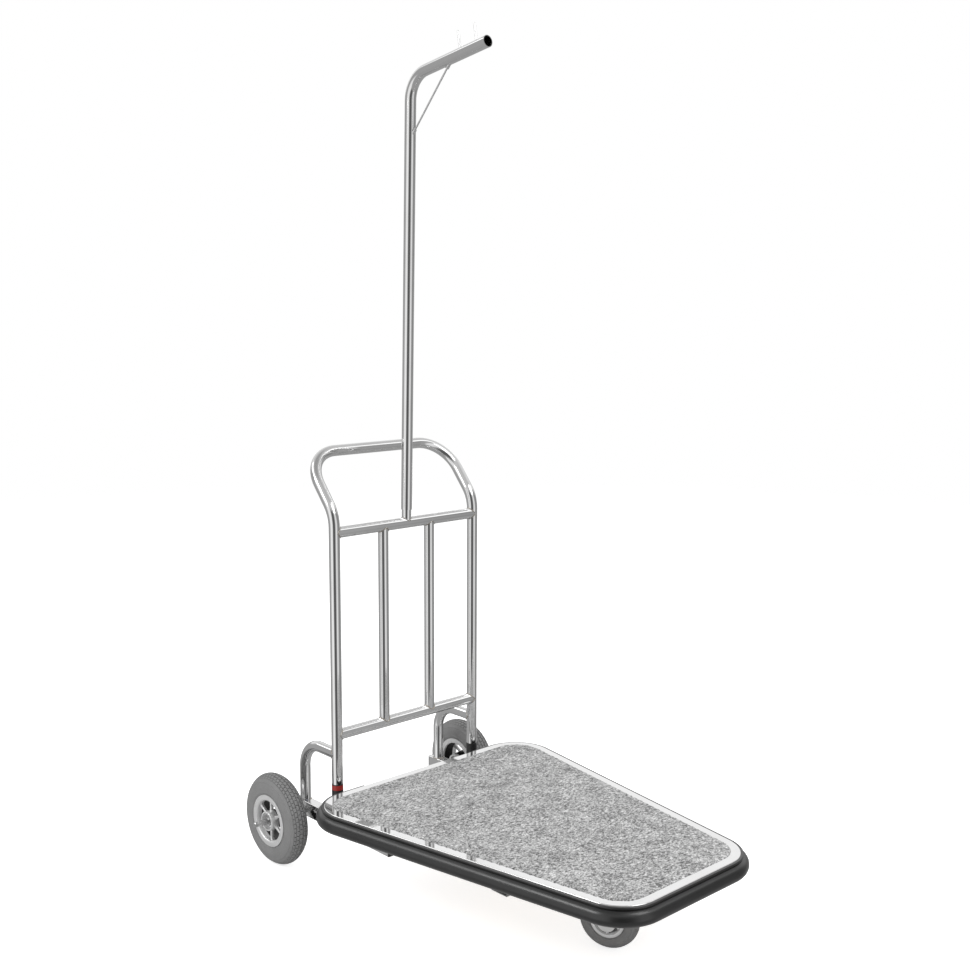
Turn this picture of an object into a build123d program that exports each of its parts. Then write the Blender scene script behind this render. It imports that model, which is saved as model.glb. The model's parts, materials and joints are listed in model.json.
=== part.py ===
from build123d import *
import os
from math import atan2, cos, radians, sin, tan

# Hotel luggage cart: a tapered carpeted deck, a bent tube handle frame with a hanger mast,
# two large rear wheels on stub axles and one swivel caster under the narrow front.
# Z is up, the front is -Y, the floor is z = 0 and the origin is under the middle of the
# whole cart. All sizes are in millimetres.

# ---- frame tubes ----
tube_od = 25.0
tube_wall = 1.5
bar_od = 24.0
weld_gap = 0.02  # radial, between a coped end and the tube that it is welded to

# ---- rear wheels and axles ----
wheel_dia = 210.0
wheel_width = 50.0
wheel_track = 570.0  # between the two rear wheels' middle planes
axle_dia = 12.0
axle_set_back = 125.0  # axle behind the plane of the uprights
axle_end = 32.0  # past the hub's outer face
hub_length = 56.0
hub_dia = 56.0
hub_recess_dia = 36.0
hub_recess_depth = 12.0
rim_lip_dia = 119.0
rim_lip_thick = 2.5
rim_seat_dia = 104.0
rim_wall = 4.0
rim_web_thick = 6.0
spoke_count = 6
spoke_width = 6.0
bearing_od = 28.0
bearing_width = 8.0
spacer_od = 17.0
running_fit = 0.05  # radial, between an axle and what turns on it
side_clearance = 0.4  # between a turning hub and what it turns against

# ---- uprights, handle and crossbars ----
frame_width = 408.0  # between the uprights' centrelines
upper_bar_z = 775.0
lower_bar_z = 316.0
bar_spacing = 136.0
handle_bend_z = 814.0  # where the uprights' centrelines lean back
handle_lean = 40.0
handle_top_z = 941.0
handle_lean_radius = 76.0
handle_corner_radius = 82.0

# ---- mast ----
mast_lean = 1.3
mast_od = 25.0
mast_wall = 1.5
mast_foot = 31.0  # mast's lower end, from the upper crossbar's centreline
stub_overlap = 60.0  # stub inside the mast
mast_height = 986.0  # crossbar centreline to the corner of mast and arm
arm_rise = 9.5
arm_length = 248.8
mast_bend_radius = 60.0
peg_dia = 5.0
peg_length = 36.0
peg_end_gap = 33.0
peg_pitch = 51.0
brace_dia = 4.0
brace_lug_dia = 8.0
brace_lug_length = 7.0
brace_low = 854.0  # brace foot along the mast, from the crossbar centreline
brace_high = 140.0  # brace top along the arm, from the corner

# ---- wheel loops and rails ----
loop_z = 271.0
loop_radius = 60.0
rail_width = 25.0
rail_height = 35.0
rail_wall = 2.0
rail_rear_end = 22.0  # rail behind the axle
rail_past_beam = 30.0  # rail in front of the rear beam's centreline
plug_lip = 2.0
plug_depth = 12.0

# ---- deck ----
deck_gap = 45.0  # between the uprights' plane and the deck's rear edge
deck_length = 802.0
deck_rear_width = 665.0
deck_front_width = 380.0
deck_corner_radius = 85.0
deck_above_axle = 95.0  # deck's top above the rear axle
trim_width = 20.0
trim_thick = 2.0
trim_lip_thick = 1.5
trim_lip_height = 34.0
trim_edge_round = 1.8
carpet_gap = 0.5
carpet_proud = 2.0
board_thick = 12.0
ring_gap = 2.0  # between the ring's tube and the trim's lip
beam_width = 30.0
beam_height = 30.0
beam_wall = 2.0
beam_past_rail = 0.5  # rear and middle beams past the outer walls of the rails
front_beam_width = 45.0
front_beam_height = 22.0
front_beam_length = 440.0
cross_tube_steps = {"rear": 165.0, "middle": 250.0, "front": 545.0}  # ahead of the uprights

# ---- bumper ----
bumper_thick = 17.0
bumper_top_drop = 1.0  # bumper's top below the deck's top
bumper_height = 37.0
bumper_lip = 6.0
bumper_groove = 4.5
bumper_rear_wrap = 70.0  # straight run behind each rear corner

# ---- caster ----
caster_behind_front = 152.0  # swivel axis behind the deck's front edge
caster_trail = 45.0
caster_yaw = 24.0
caster_dia = 125.0
caster_width = 38.0
caster_lip_dia = 71.0
caster_seat_dia = 60.0
caster_hub_dia = 30.0
caster_hub_length = 42.0
caster_axle_dia = 10.0
fork_thick = 3.0
fork_gap = 1.0
fork_end_dia = 40.0
plate_x = 100.0
plate_y = 84.0
plate_thick = 4.0
mount_plate_thick = 5.0
mount_plate_y = 124.0
mount_plate_x = 116.0
caster_tube_room = 11.0  # between the bolts' centres and the caster tubes, both sides together
bolt_spacing_x = 76.0
bolt_spacing_y = 60.0
bolt_dia = 8.0
bolt_clearance = 0.2
kingpin_dia = 10.0
race_dia = 52.0
race_height = 8.0

# ---- label bands ----
band_thick = 0.5
band_height = 45.0
band_above_deck = 3.0

# ---- places worked out from the sizes ----
front_reach = deck_gap + deck_length + bumper_thick
rear_reach = axle_set_back + wheel_dia / 2
upright_y = (front_reach - rear_reach) / 2
upright_x = frame_width / 2
axle_y = upright_y + axle_set_back
axle_z = wheel_dia / 2
wheel_x = wheel_track / 2
axle_tip_x = wheel_x + hub_length / 2 + axle_end
deck_rear_y = upright_y - deck_gap
deck_front_y = deck_rear_y - deck_length
deck_taper = atan2((deck_rear_width - deck_front_width) / 2, deck_length)
deck_top_z = axle_z + deck_above_axle
board_top_z = deck_top_z - trim_thick
board_bottom_z = board_top_z - board_thick
ring_z = board_bottom_z - tube_od / 2
ring_bottom_z = board_bottom_z - tube_od
beam_top_z = ring_bottom_z
ring_inset = tube_od / 2 + trim_lip_thick + ring_gap
caster_tube_spacing = bolt_spacing_y + tube_od + caster_tube_room
beam_length = frame_width + rail_width + 2 * beam_past_rail
rail_top_z = beam_top_z - beam_height
rail_front_end = cross_tube_steps["rear"] + rail_past_beam
bumper_bottom_z = deck_top_z - bumper_top_drop - bumper_height
band_top_z = deck_top_z + band_above_deck
caster_y = deck_front_y + caster_behind_front
sides = {"left": -1, "right": 1}

os.makedirs("parts", exist_ok=True)


def export(node, name):
    """Label a finished piece and write it to its own file."""
    node.part.label = name
    export_step(node.part, f"parts/{name}.step")


def ring_face(outer_dia, inner_dia):
    """Draw a ring in the open sketch."""
    Circle(outer_dia / 2)
    Circle(inner_dia / 2, mode=Mode.SUBTRACT)


def sweep_tube(line, outer_dia, wall):
    """Sweep a round tube along a finished line."""
    with BuildSketch(Plane(origin=line @ 0, z_dir=line % 0)) as section:
        ring_face(outer_dia, outer_dia - 2 * wall)
    sweep(section.sketch, path=line)


def cut_rod(plane, diameter, length):
    """Cut the room for a round rod, centred on the plane, out of the open part."""
    with BuildSketch(plane) as rod:
        Circle(diameter / 2 + weld_gap)
    extrude(rod.sketch, amount=length / 2, both=True, mode=Mode.SUBTRACT)


def outline_half_width(y, inset):
    """Half of the deck's width at y, for an outline moved in by inset."""
    return deck_rear_width / 2 - (deck_rear_y - y) * tan(deck_taper) - inset / cos(deck_taper)


def outline_corners(inset):
    """The four sharp corners of the deck's outline, moved in by inset."""
    rear = deck_rear_y - inset
    front = deck_front_y + inset
    return [
        (-outline_half_width(rear, inset), rear),
        (-outline_half_width(front, inset), front),
        (outline_half_width(front, inset), front),
        (outline_half_width(rear, inset), rear),
    ]


def deck_face(inset, mode=Mode.ADD):
    """Fill the deck's outline, moved in by inset, in the open sketch."""
    with BuildLine() as outline:
        FilletPolyline(*outline_corners(inset), radius=deck_corner_radius - inset, close=True)
    make_face(outline.edges(), mode=mode)


def wrap_points(inset, z, wrap):
    """An open run of corners round the deck that starts and ends on the rear edge."""
    corners = [(x, y, z) for x, y in outline_corners(inset)]
    reach = (deck_corner_radius - inset) * tan((radians(90) + deck_taper) / 2) + wrap
    start = (corners[0][0] + reach, corners[0][1], z)
    end = (corners[3][0] - reach, corners[3][1], z)
    return [start, *corners, end]


# ---- handle frame: one bent tube, both uprights and the top grip ----
lean_reach = (handle_top_z - handle_bend_z) * tan(radians(handle_lean))
with BuildPart() as handle_frame:
    with BuildLine() as handle_line:
        FilletPolyline(
            (-upright_x, upright_y, rail_top_z),
            (-upright_x, upright_y, handle_bend_z),
            (-upright_x, upright_y + lean_reach, handle_top_z),
            (upright_x, upright_y + lean_reach, handle_top_z),
            (upright_x, upright_y, handle_bend_z),
            (upright_x, upright_y, rail_top_z),
            radius=[handle_lean_radius, handle_corner_radius, handle_corner_radius, handle_lean_radius],
        )
    sweep_tube(handle_line.line, tube_od, tube_wall)
export(handle_frame, "handle_frame")

# ---- crossbars, coped to the uprights ----
for name, z in (("upper_crossbar", upper_bar_z), ("lower_crossbar", lower_bar_z)):
    with BuildPart() as crossbar:
        with BuildSketch(Plane((-upright_x, upright_y, z), z_dir=(1, 0, 0))):
            ring_face(tube_od, tube_od - 2 * tube_wall)
        extrude(amount=frame_width)
        for side in sides.values():
            cut_rod(Plane((side * upright_x, upright_y, z)), tube_od, 2 * tube_od)
    export(crossbar, name)

# ---- the two upright bars between the crossbars ----
for name, side in sides.items():
    with BuildPart() as bar:
        with BuildSketch(Plane((side * bar_spacing / 2, upright_y, lower_bar_z))):
            ring_face(bar_od, bar_od - 2 * tube_wall)
        extrude(amount=upper_bar_z - lower_bar_z)
        for z in (lower_bar_z, upper_bar_z):
            cut_rod(Plane((0, upright_y, z), z_dir=(1, 0, 0)), tube_od, frame_width)
    export(bar, f"{name}_bar")

# ---- mast stub, on the middle of the upper crossbar ----
mast_base = Vector(0, upright_y, upper_bar_z)
mast_dir = Vector(0, -sin(radians(mast_lean)), cos(radians(mast_lean)))
arm_dir = Vector(0, -cos(radians(arm_rise)), sin(radians(arm_rise)))
arm_up = Vector(0, sin(radians(arm_rise)), cos(radians(arm_rise)))
mast_bore = mast_od - 2 * mast_wall
stub_od = mast_bore - 2 * running_fit
with BuildPart() as mast_stub:
    with BuildSketch(Plane(origin=mast_base, z_dir=mast_dir)):
        ring_face(stub_od, stub_od - 2 * tube_wall)
    extrude(amount=mast_foot + stub_overlap)
    cut_rod(Plane(mast_base, z_dir=(1, 0, 0)), tube_od, frame_width)
    chamfer(mast_stub.edges().group_by(Axis.Z)[-1].sort_by(SortBy.LENGTH)[-1], tube_wall / 3)
export(mast_stub, "mast_stub")

# ---- mast: one tube bent forward into the hanger arm, with an open end ----
mast_corner = mast_base + mast_dir * mast_height
arm_tip = mast_corner + arm_dir * arm_length
with BuildPart() as mast_tube:
    with BuildLine() as mast_line:
        FilletPolyline(mast_base + mast_dir * mast_foot, mast_corner, arm_tip, radius=mast_bend_radius)
    sweep_tube(mast_line.line, mast_od, mast_wall)
export(mast_tube, "mast_tube")

# ---- two pegs that stand on the arm ----
with BuildPart() as mast_pegs:
    for step in (peg_end_gap, peg_end_gap + peg_pitch):
        with BuildSketch(Plane(origin=arm_tip - arm_dir * step, z_dir=arm_up)):
            Circle(peg_dia / 2)
        extrude(amount=mast_od / 2 + peg_length)
    peg_tips = mast_pegs.faces().filter_by(GeomType.PLANE).sort_by(Axis.Z)[-2:]
    fillet(peg_tips.edges(), peg_dia / 4)
    cut_rod(Plane(mast_corner, z_dir=arm_dir), mast_od, 3 * arm_length)
export(mast_pegs, "mast_pegs")

# ---- brace rod between mast and arm, with a short lug at each end ----
brace_foot = mast_base + mast_dir * brace_low
brace_top = mast_corner + arm_dir * brace_high
brace_vector = brace_top - brace_foot
with BuildPart() as mast_brace:
    with BuildSketch(Plane(origin=brace_foot, z_dir=brace_vector)):
        Circle(brace_dia / 2)
    extrude(amount=brace_vector.length)
    cut_rod(Plane(brace_foot, z_dir=mast_dir), mast_od, 8 * mast_od)
    cut_rod(Plane(brace_top, z_dir=arm_dir), mast_od, 8 * mast_od)
export(mast_brace, "mast_brace")

foot_depth = mast_od / 2 / sin(radians(brace_vector.get_angle(mast_dir)))
top_depth = mast_od / 2 / sin(radians(brace_vector.get_angle(arm_dir)))
with BuildPart() as brace_lugs:
    with BuildSketch(Plane(origin=brace_foot, z_dir=brace_vector)):
        ring_face(brace_lug_dia, brace_dia)
    extrude(amount=foot_depth + brace_lug_length)
    with BuildSketch(Plane(origin=brace_top, z_dir=-brace_vector)):
        ring_face(brace_lug_dia, brace_dia)
    extrude(amount=top_depth + brace_lug_length)
    cut_rod(Plane(brace_foot, z_dir=mast_dir), mast_od, 8 * mast_od)
    cut_rod(Plane(brace_top, z_dir=arm_dir), mast_od, 8 * mast_od)
export(brace_lugs, "brace_lugs")

# ---- each side's wheel loop, rail, stub axle, wheel and label band ----
web_outer_x = wheel_width / 2 - 9.0
bearing_outer_x = hub_length / 2 - hub_recess_depth
bearing_inner_x = -hub_length / 2
rim_inner_dia = rim_seat_dia - 2 * rim_wall
rim_half = wheel_width / 2 - 1.0
nut_across = 19.0
nut_height = 6.0
washer_dia = 26.0
washer_thick = 1.5
collar_dia = 24.0
collar_thick = 3.0

for name, side in sides.items():
    rail_x = side * upright_x
    rail_outer = rail_width / 2

    # loop from the upright, back over the axle and down to the rail
    with BuildPart() as wheel_loop:
        with BuildLine() as loop_line:
            FilletPolyline(
                (rail_x, upright_y, loop_z),
                (rail_x, axle_y, loop_z),
                (rail_x, axle_y, rail_top_z),
                radius=loop_radius,
            )
        sweep_tube(loop_line.line, tube_od, tube_wall)
        cut_rod(Plane((rail_x, upright_y, loop_z)), tube_od, 3 * tube_od)
    export(wheel_loop, f"{name}_wheel_loop")

    # box rail from behind the axle to under the deck
    with BuildPart() as rail:
        rail_rear_y = axle_y + rail_rear_end
        rail_length = rail_rear_y - (upright_y - rail_front_end)
        rail_mid_z = rail_top_z - rail_height / 2
        with BuildSketch(Plane((rail_x, rail_rear_y, rail_mid_z), x_dir=(1, 0, 0), z_dir=(0, -1, 0))):
            RectangleRounded(rail_width, rail_height, rail_wall)
            Rectangle(rail_width - 2 * rail_wall, rail_height - 2 * rail_wall, mode=Mode.SUBTRACT)
        extrude(amount=rail_length)
        cut_rod(Plane((rail_x, axle_y, axle_z), z_dir=(1, 0, 0)), axle_dia, 2 * rail_width)
    export(rail, f"{name}_rail")

    # plastic plugs in both ends of the rail
    with BuildPart() as rail_plugs:
        for end_y, outward in ((rail_rear_y, 1), (rail_rear_y - rail_length, -1)):
            end_plane = Plane((rail_x, end_y, rail_mid_z), x_dir=(1, 0, 0), z_dir=(0, outward, 0))
            with BuildSketch(end_plane):
                RectangleRounded(rail_width, rail_height, rail_wall)
            extrude(amount=plug_lip)
            with BuildSketch(end_plane):
                Rectangle(rail_width - 2 * rail_wall, rail_height - 2 * rail_wall)
            extrude(amount=-plug_depth)
    export(rail_plugs, f"{name}_rail_plugs")

    # stub axle through the rail, with a collar against its outer wall
    head_x = upright_x - rail_outer
    collar_x = upright_x + rail_outer
    axle_plane = Plane((0, axle_y, axle_z), x_dir=(0, 1, 0), z_dir=(side, 0, 0))
    with BuildPart() as axle:
        with BuildSketch(axle_plane.offset(head_x - nut_height)):
            Circle(axle_dia / 2)
        extrude(amount=axle_tip_x - head_x + nut_height)
        chamfer(axle.edges().sort_by(Axis.X)[0 if side < 0 else -1], axle_dia / 8)
        with BuildSketch(axle_plane.offset(collar_x)):
            Circle(collar_dia / 2)
        extrude(amount=collar_thick)
    export(axle, f"{name}_axle")

    # spacer between the collar and the wheel's inner bearing
    spacer_end = wheel_x - hub_length / 2 - side_clearance
    with BuildPart() as axle_spacer:
        with BuildSketch(axle_plane.offset(collar_x + collar_thick)):
            ring_face(spacer_od, axle_dia)
        extrude(amount=spacer_end - collar_x - collar_thick)
    export(axle_spacer, f"{name}_axle_spacer")

    # washer and nut in the hub's recess, and the nut inside the rail
    washer_x = wheel_x + bearing_outer_x + side_clearance
    with BuildPart() as axle_fasteners:
        with BuildSketch(axle_plane.offset(washer_x)):
            ring_face(washer_dia, axle_dia)
        extrude(amount=washer_thick)
        with BuildSketch(axle_plane.offset(washer_x + washer_thick)):
            RegularPolygon(nut_across / 2, 6, major_radius=False)
            Circle(axle_dia / 2, mode=Mode.SUBTRACT)
        extrude(amount=nut_height)
        with BuildSketch(axle_plane.offset(head_x - nut_height)):
            RegularPolygon(nut_across / 2, 6, major_radius=False)
            Circle(axle_dia / 2, mode=Mode.SUBTRACT)
        extrude(amount=nut_height)
    export(axle_fasteners, f"{name}_axle_fasteners")

    # cast rim: seat with two lips, a spoked web near the outer side and a hub
    rim_plane = Plane((side * wheel_x, axle_y, axle_z), x_dir=(0, 1, 0), z_dir=(side, 0, 0))
    with BuildPart() as rim:
        with BuildSketch(rim_plane.offset(-rim_half)):
            ring_face(rim_seat_dia, rim_inner_dia)
        extrude(amount=2 * rim_half)
        for lip_start in (-rim_half, rim_half - rim_lip_thick):
            with BuildSketch(rim_plane.offset(lip_start)):
                ring_face(rim_lip_dia, rim_inner_dia)
            extrude(amount=rim_lip_thick)
        with BuildSketch(rim_plane.offset(web_outer_x - rim_web_thick)):
            ring_face(rim_inner_dia, hub_dia)
        extrude(amount=rim_web_thick)
        with BuildSketch(rim_plane.offset(web_outer_x - rim_web_thick)):
            ring_face(rim_inner_dia - 2.0, hub_dia)
            with PolarLocations(0, spoke_count, start_angle=90):
                Rectangle(rim_inner_dia, spoke_width, align=(Align.MIN, Align.CENTER), mode=Mode.SUBTRACT)
        extrude(amount=rim_web_thick, mode=Mode.SUBTRACT)
        with BuildSketch(rim_plane.offset(-hub_length / 2)):
            ring_face(hub_dia, bearing_od)
        extrude(amount=hub_length)
        with BuildSketch(rim_plane.offset(bearing_outer_x)):
            Circle(hub_recess_dia / 2)
        extrude(amount=hub_recess_depth, mode=Mode.SUBTRACT)
    export(rim, f"{name}_rim")

    # two bearings pressed into the hub, and the sleeve between them
    with BuildPart() as bearings:
        for start_x in (bearing_inner_x, bearing_outer_x - bearing_width):
            with BuildSketch(rim_plane.offset(start_x)):
                ring_face(bearing_od, axle_dia + 2 * running_fit)
            extrude(amount=bearing_width)
    export(bearings, f"{name}_bearings")

    with BuildPart() as sleeve:
        with BuildSketch(rim_plane.offset(bearing_inner_x + bearing_width)):
            ring_face(spacer_od, axle_dia + 2 * running_fit)
        extrude(amount=bearing_outer_x - bearing_inner_x - 2 * bearing_width)
    export(sleeve, f"{name}_bearing_sleeve")

    # tyre: closed ring with rounded sides and a shallow crown
    with BuildPart() as tyre:
        profile_plane = Plane((side * wheel_x, axle_y, axle_z), x_dir=(side, 0, 0), z_dir=(0, -1, 0))
        with BuildSketch(profile_plane) as tyre_profile:
            seat = rim_seat_dia / 2
            bead = rim_half - rim_lip_thick
            lip = rim_lip_dia / 2
            shoulder_x = wheel_width / 2 - 6.0
            shoulder_r = wheel_dia / 2 - 9.0
            with BuildLine():
                Polyline((-bead, lip), (-bead, seat), (bead, seat), (bead, lip))
                ThreePointArc((bead, lip), (wheel_width / 2, (lip + shoulder_r) / 2), (shoulder_x, shoulder_r))
                ThreePointArc((shoulder_x, shoulder_r), (0, wheel_dia / 2), (-shoulder_x, shoulder_r))
                ThreePointArc((-shoulder_x, shoulder_r), (-wheel_width / 2, (lip + shoulder_r) / 2), (-bead, lip))
            make_face()
        revolve(axis=Axis((0, axle_y, axle_z), (1, 0, 0)))
    export(tyre, f"{name}_tyre")

    # plain printed band round the foot of the upright
    with BuildPart() as label_band:
        with BuildSketch(Plane((rail_x, upright_y, band_top_z - band_height))):
            ring_face(tube_od + 2 * band_thick, tube_od)
        extrude(amount=band_height)
    export(label_band, f"{name}_label_band")

# ---- deck ring: a bent tube under the board, closed at the back by a straight tube ----
with BuildPart() as deck_ring:
    with BuildLine() as ring_line:
        ring_points = wrap_points(ring_inset, ring_z, bumper_rear_wrap)
        FilletPolyline(*ring_points, radius=deck_corner_radius - ring_inset)
    sweep_tube(ring_line.line, tube_od, tube_wall)
export(deck_ring, "deck_ring")

ring_rear_y = ring_points[0][1]
with BuildPart() as ring_rear_tube:
    with BuildSketch(Plane((ring_points[0][0], ring_rear_y, ring_z), z_dir=(1, 0, 0))):
        ring_face(tube_od, tube_od - 2 * tube_wall)
    extrude(amount=-2 * ring_points[0][0])
export(ring_rear_tube, "ring_rear_tube")

# ---- cross tubes between the ring's sides ----
caster_tube_steps = {
    "caster_rear": upright_y - caster_y - caster_tube_spacing / 2,
    "caster_front": upright_y - caster_y + caster_tube_spacing / 2,
}
for name, step in {**cross_tube_steps, **caster_tube_steps}.items():
    tube_y = upright_y - step
    half = outline_half_width(tube_y, ring_inset)
    with BuildPart() as cross_tube:
        with BuildSketch(Plane((-half, tube_y, ring_z), z_dir=(1, 0, 0))):
            ring_face(tube_od, tube_od - 2 * tube_wall)
        extrude(amount=2 * half)
        for side in sides.values():
            leg = Vector(side * sin(deck_taper), cos(deck_taper), 0)
            cut_rod(Plane((side * half, tube_y, ring_z), z_dir=leg), tube_od, 4 * tube_od)
    export(cross_tube, f"{name}_cross_tube")

# ---- box beams under the cross tubes: the rear one sits on the rails, the front one is flatter ----
for name, step in cross_tube_steps.items():
    width, height, length = beam_width, beam_height, beam_length
    if name == "front":
        width, height, length = front_beam_width, front_beam_height, front_beam_length
    beam_plane = Plane((-length / 2, upright_y - step, beam_top_z - height / 2), x_dir=(0, 1, 0), z_dir=(1, 0, 0))
    with BuildPart() as beam:
        with BuildSketch(beam_plane):
            RectangleRounded(width, height, beam_wall)
            Rectangle(width - 2 * beam_wall, height - 2 * beam_wall, mode=Mode.SUBTRACT)
        extrude(amount=length)
    export(beam, f"{name}_beam")

# ---- deck board, carpet and edge trim ----
with BuildPart() as deck_board:
    with BuildSketch(Plane.XY.offset(board_bottom_z)):
        deck_face(trim_lip_thick)
    extrude(amount=board_thick)
export(deck_board, "deck_board")

with BuildPart() as deck_carpet:
    with BuildSketch(Plane.XY.offset(board_top_z)):
        deck_face(trim_width + carpet_gap)
    extrude(amount=trim_thick + carpet_proud)
export(deck_carpet, "deck_carpet")

with BuildPart() as deck_trim:
    with BuildSketch(Plane.XY.offset(deck_top_z - trim_lip_height)):
        deck_face(0)
        deck_face(trim_lip_thick, mode=Mode.SUBTRACT)
    extrude(amount=trim_lip_height - trim_thick)
    with BuildSketch(Plane.XY.offset(board_top_z)):
        deck_face(0)
        deck_face(trim_width, mode=Mode.SUBTRACT)
    extrude(amount=trim_thick)
    top_face = deck_trim.faces().filter_by(Axis.Z).sort_by(Axis.Z)[-1]
    fillet(top_face.outer_wire().edges(), trim_edge_round)
export(deck_trim, "deck_trim")

# ---- rubber bumper: a deep rib with a small lip above it, open across the rear ----
with BuildPart() as bumper:
    with BuildLine() as bumper_line:
        FilletPolyline(*wrap_points(0, bumper_bottom_z, bumper_rear_wrap), radius=deck_corner_radius)
    with BuildSketch(Plane(bumper_line.line @ 0, x_dir=(0, 1, 0), z_dir=(1, 0, 0))):
        lip_z = bumper_height - bumper_lip
        with BuildLine():
            Line((0, 0), (bumper_thick * 0.55, 0))
            ThreePointArc(
                (bumper_thick * 0.55, 0), (bumper_thick, lip_z * 0.52), (bumper_groove, lip_z)
            )
            ThreePointArc(
                (bumper_groove, lip_z),
                (bumper_lip, lip_z + bumper_lip / 2),
                (bumper_groove, bumper_height),
            )
            Polyline((bumper_groove, bumper_height), (0, bumper_height), (0, 0))
        make_face()
    sweep(path=bumper_line.line)
export(bumper, "bumper")

# ---- caster mounting plate, welded under the two caster cross tubes ----
mount_top_z = ring_bottom_z
plate_top_z = mount_top_z - mount_plate_thick
plate_bottom_z = plate_top_z - plate_thick
with BuildPart() as caster_mount_plate:
    with BuildSketch(Plane((0, caster_y, plate_top_z))):
        RectangleRounded(mount_plate_x, mount_plate_y, 6)
        with GridLocations(bolt_spacing_x, bolt_spacing_y, 2, 2):
            Circle(bolt_dia / 2 + bolt_clearance, mode=Mode.SUBTRACT)
    extrude(amount=mount_plate_thick)
export(caster_mount_plate, "caster_mount_plate")

# ---- caster's own plate, with its pressed race underneath ----
with BuildPart() as caster_plate:
    with BuildSketch(Plane((0, caster_y, plate_bottom_z))):
        RectangleRounded(plate_x, plate_y, 8)
        with GridLocations(bolt_spacing_x, bolt_spacing_y, 2, 2):
            Circle(bolt_dia / 2 + bolt_clearance, mode=Mode.SUBTRACT)
    extrude(amount=plate_thick)
    with BuildSketch(Plane((0, caster_y, plate_bottom_z))):
        Circle(race_dia / 2)
    extrude(amount=-race_height, taper=18)
export(caster_plate, "caster_plate")

# ---- bolts and nuts that hold the caster ----
bolt_head = 5.3
bolt_across = 13.0
nut_thick = 6.5
with BuildPart() as caster_bolts:
    with BuildSketch(Plane((0, caster_y, plate_bottom_z - bolt_head))):
        with GridLocations(bolt_spacing_x, bolt_spacing_y, 2, 2):
            RegularPolygon(bolt_across / 2, 6, major_radius=False)
    extrude(amount=bolt_head)
    with BuildSketch(Plane((0, caster_y, plate_bottom_z))):
        with GridLocations(bolt_spacing_x, bolt_spacing_y, 2, 2):
            Circle(bolt_dia / 2)
    extrude(amount=plate_thick + mount_plate_thick + nut_thick)
    with BuildSketch(Plane((0, caster_y, mount_top_z))):
        with GridLocations(bolt_spacing_x, bolt_spacing_y, 2, 2):
            RegularPolygon(bolt_across / 2, 6, major_radius=False)
    extrude(amount=nut_thick)
export(caster_bolts, "caster_bolts")

# ---- kingpin, fixed to the caster's plate ----
race_bottom_z = plate_bottom_z - race_height
fork_top_z = race_bottom_z - side_clearance
crown_height = 10.0
crown_bottom_z = fork_top_z - crown_height
kingpin_head = 2.2
kingpin_head_dia = 18.0
with BuildPart() as kingpin:
    with BuildSketch(Plane((0, caster_y, race_bottom_z))):
        Circle(kingpin_dia / 2)
    extrude(amount=-(crown_height + 2 * side_clearance))
    with BuildSketch(Plane((0, caster_y, crown_bottom_z - side_clearance))):
        Circle(kingpin_head_dia / 2)
    extrude(amount=-kingpin_head)
export(kingpin, "caster_kingpin")

# ---- swivel fork, in a frame that trails behind the swivel axis ----
yaw = radians(caster_yaw)
across = Vector(cos(yaw), sin(yaw), 0)
back = Vector(-sin(yaw), cos(yaw), 0)
swivel = Vector(0, caster_y, 0)
caster_axle = swivel + back * caster_trail + Vector(0, 0, caster_dia / 2)
leg_inner = caster_hub_length / 2 + fork_gap
leg_outer = leg_inner + fork_thick
crown_depth = 56.0
with BuildPart() as caster_fork:
    with BuildSketch(Plane(swivel + Vector(0, 0, crown_bottom_z), x_dir=across, z_dir=(0, 0, 1))):
        RectangleRounded(2 * leg_outer, crown_depth, 6)
        Circle(kingpin_dia / 2 + running_fit, mode=Mode.SUBTRACT)
    extrude(amount=fork_thick + 1.0)
    with BuildSketch(Plane(swivel + Vector(0, 0, crown_bottom_z), x_dir=across, z_dir=(0, 0, 1))):
        ring_face(race_dia - 6.0, kingpin_dia + 2 * running_fit)
    extrude(amount=crown_height)
    for side in sides.values():
        leg_start = leg_inner if side > 0 else -leg_outer
        leg_plane = Plane(swivel + across * leg_start, x_dir=back, z_dir=across)
        with BuildSketch(leg_plane):
            with BuildLine():
                half_crown = crown_depth / 2
                end_r = fork_end_dia / 2
                top = crown_bottom_z + fork_thick + 1.0
                Polyline(
                    (-half_crown, top),
                    (-half_crown, top - 14.0),
                    (caster_trail - end_r, caster_dia / 2),
                    (caster_trail + end_r, caster_dia / 2),
                    (half_crown + 12.0, top - 20.0),
                    (half_crown, top),
                    (-half_crown, top),
                )
            make_face()
            with Locations((caster_trail, caster_dia / 2)):
                Circle(end_r)
                Circle(caster_axle_dia / 2, mode=Mode.SUBTRACT)
        extrude(amount=fork_thick)
export(caster_fork, "caster_fork")

# ---- caster axle bolt and nut ----
caster_nut_across = 16.0
caster_nut_height = 7.0
with BuildPart() as caster_axle_bolt:
    with BuildSketch(Plane(caster_axle - across * leg_outer, x_dir=back, z_dir=across)):
        RegularPolygon(caster_nut_across / 2, 6, major_radius=False)
    extrude(amount=-caster_nut_height)
    with BuildSketch(Plane(caster_axle - across * leg_outer, x_dir=back, z_dir=across)):
        Circle(caster_axle_dia / 2)
    extrude(amount=2 * leg_outer + caster_nut_height + 3.0)
export(caster_axle_bolt, "caster_axle_bolt")

with BuildPart() as caster_axle_nut:
    with BuildSketch(Plane(caster_axle + across * leg_outer, x_dir=back, z_dir=across)):
        RegularPolygon(caster_nut_across / 2, 6, major_radius=False)
        Circle(caster_axle_dia / 2, mode=Mode.SUBTRACT)
    extrude(amount=caster_nut_height)
export(caster_axle_nut, "caster_axle_nut")

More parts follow.
